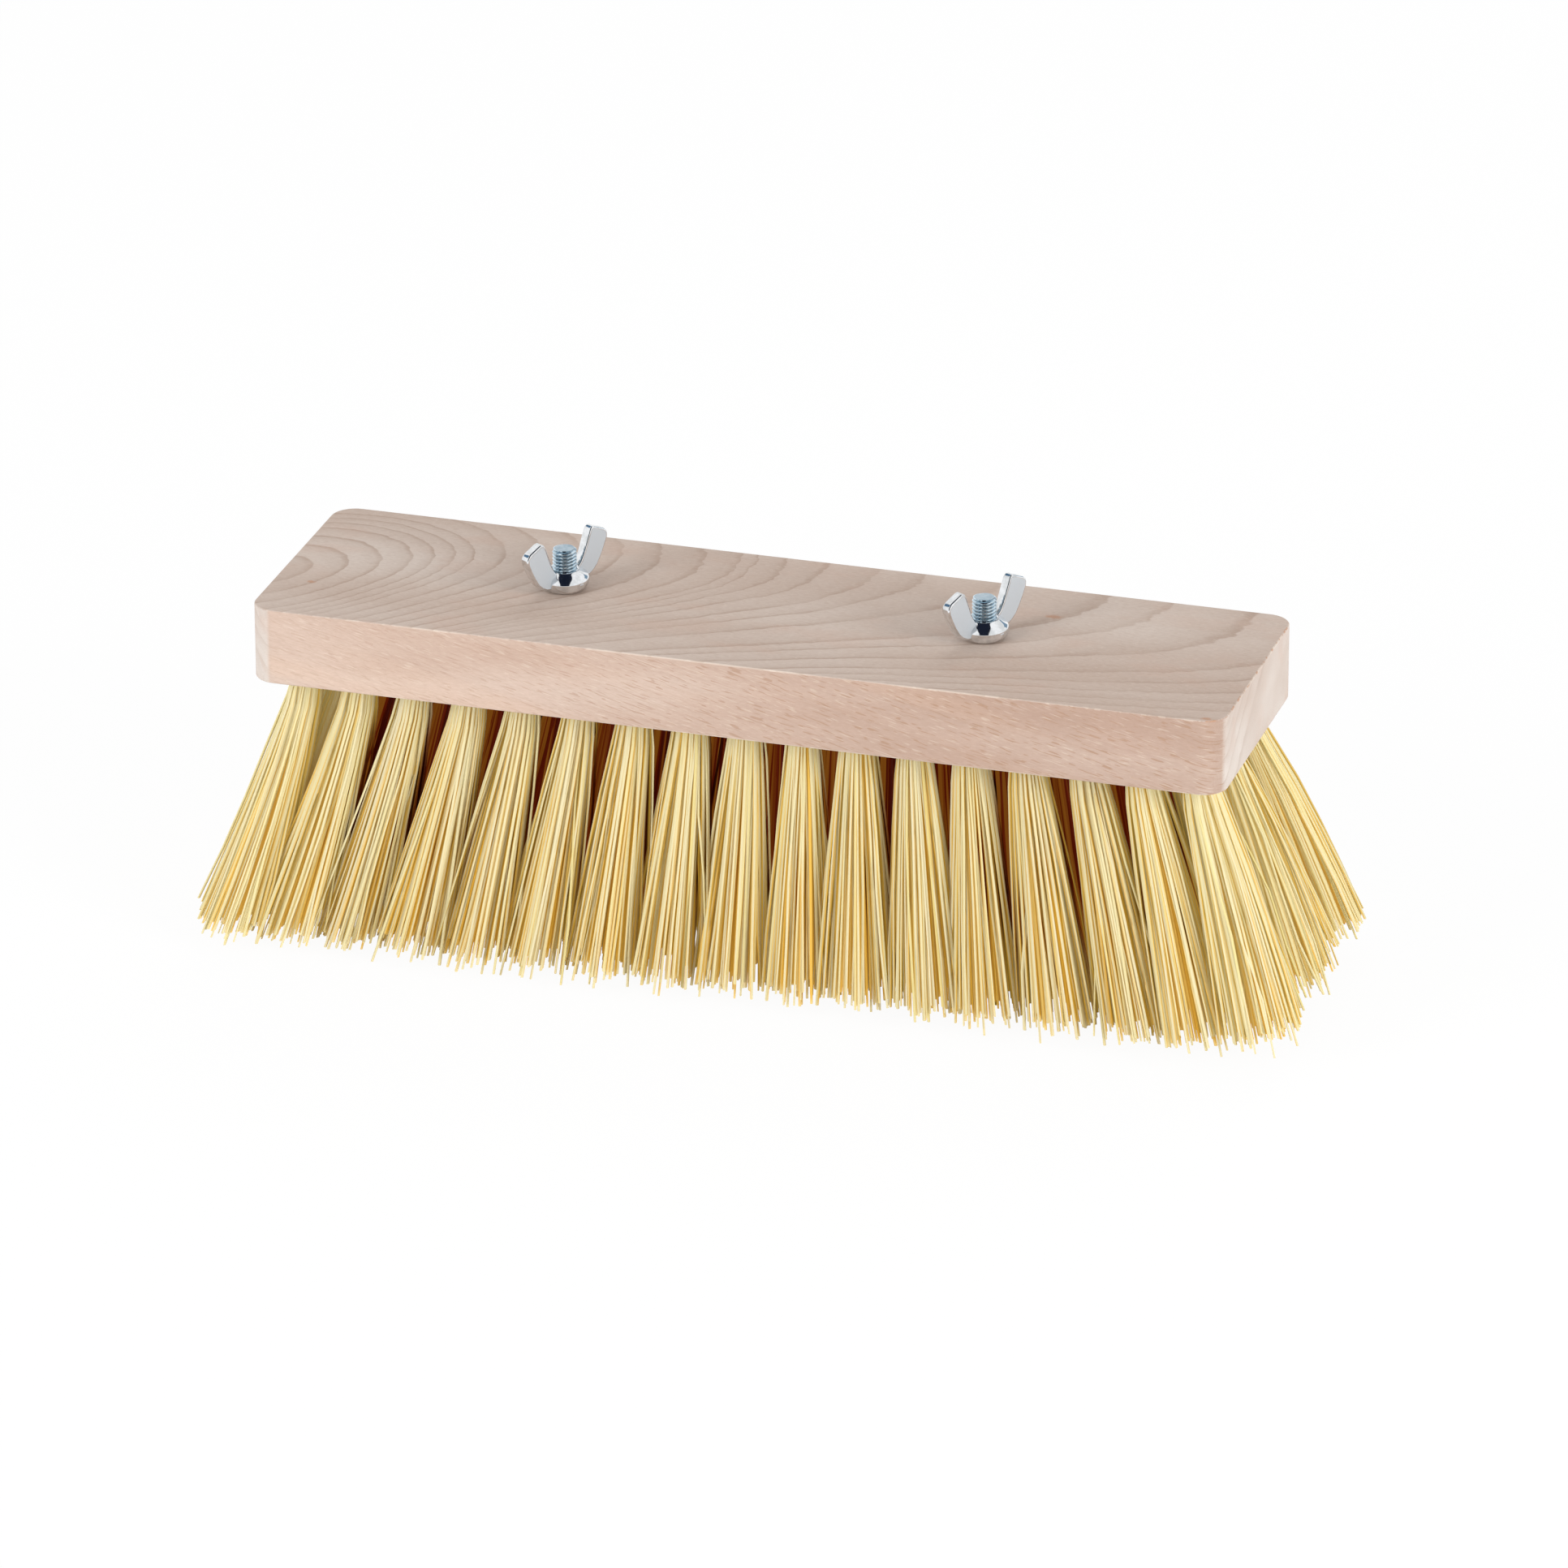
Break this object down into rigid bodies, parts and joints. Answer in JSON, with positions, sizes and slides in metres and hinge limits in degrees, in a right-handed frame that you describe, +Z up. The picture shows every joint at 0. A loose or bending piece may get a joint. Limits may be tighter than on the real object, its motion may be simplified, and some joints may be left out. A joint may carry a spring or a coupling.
{
  "type": "tar brush",
  "caption": "Wide flat brush head: beech block with staggered plant-fibre tufts underneath and two upright studs with wing nuts for clamping a handle on top.",
  "frame": {"origin": "on the level plane of the trimmed bristle tips, under the middle of the block", "axes": "+X along the block's length, +Y across it from the front row to the back row, +Z up from the bristle tips to the wing nuts"},
  "size_m": [0.3164, 0.0934, 0.1099],
  "materials": {
    "beech": "planed bare beech",
    "fibre": "pale yellow plant fibre, matt",
    "bolt_zinc": "blue-tinted zinc plate over rolled thread",
    "nut_zinc": "bright zinc plate on a cast nut"
  },
  "bodies": {
    "brush": {"brush_block": "beech", "tuft_front_01": "fibre", "tuft_front_02": "fibre", "tuft_front_03": "fibre", "tuft_front_04": "fibre", "tuft_front_05": "fibre", "tuft_front_06": "fibre", "tuft_front_07": "fibre", "tuft_front_08": "fibre", "tuft_front_09": "fibre", "tuft_front_10": "fibre", "tuft_front_11": "fibre", "tuft_front_12": "fibre", "tuft_front_13": "fibre", "tuft_front_14": "fibre", "tuft_front_15": "fibre", "tuft_front_16": "fibre", "tuft_front_17": "fibre", "tuft_row_2": "fibre", "tuft_row_3_left": "fibre", "tuft_row_3": "fibre", "tuft_row_3_right": "fibre", "tuft_row_4": "fibre", "tuft_back_01": "fibre", "tuft_back_02": "fibre", "tuft_back_03": "fibre", "tuft_back_04": "fibre", "tuft_back_05": "fibre", "tuft_back_06": "fibre", "tuft_back_07": "fibre", "tuft_back_08": "fibre", "tuft_back_09": "fibre", "tuft_back_10": "fibre", "tuft_back_11": "fibre", "tuft_back_12": "fibre", "tuft_back_13": "fibre", "tuft_back_14": "fibre", "tuft_back_15": "fibre", "tuft_back_16": "fibre", "tuft_back_17": "fibre"},
    "nut_left": {"wing_nut_left": "nut_zinc"},
    "bolt_left": {"carriage_bolt_left": "bolt_zinc"},
    "nut_right": {"wing_nut_right": "nut_zinc"},
    "bolt_right": {"carriage_bolt_right": "bolt_zinc"}
  },
  "joints": [
    {"name": "nut_left_turn", "type": "hinge", "parent": "brush", "child": "nut_left", "pos_m": [-0.06, 0, 0.094], "axis": [0, 0, 1], "range_deg": [0, 2160]},
    {"name": "bolt_left_travel", "type": "slide", "parent": "brush", "child": "bolt_left", "axis": [0, 0, -1], "range_m": [0, 0.006]},
    {"name": "nut_right_turn", "type": "hinge", "parent": "brush", "child": "nut_right", "pos_m": [0.0616, 0, 0.094], "axis": [0, 0, 1], "range_deg": [0, 2160]},
    {"name": "bolt_right_travel", "type": "slide", "parent": "brush", "child": "bolt_right", "axis": [0, 0, -1], "range_m": [0, 0.006]}
  ],
  "couplings": [
    {"joint": "bolt_left_travel", "follows": "nut_left_turn", "m_per_rad": 0.00015915},
    {"joint": "bolt_right_travel", "follows": "nut_right_turn", "m_per_rad": 0.00015915}
  ]
}
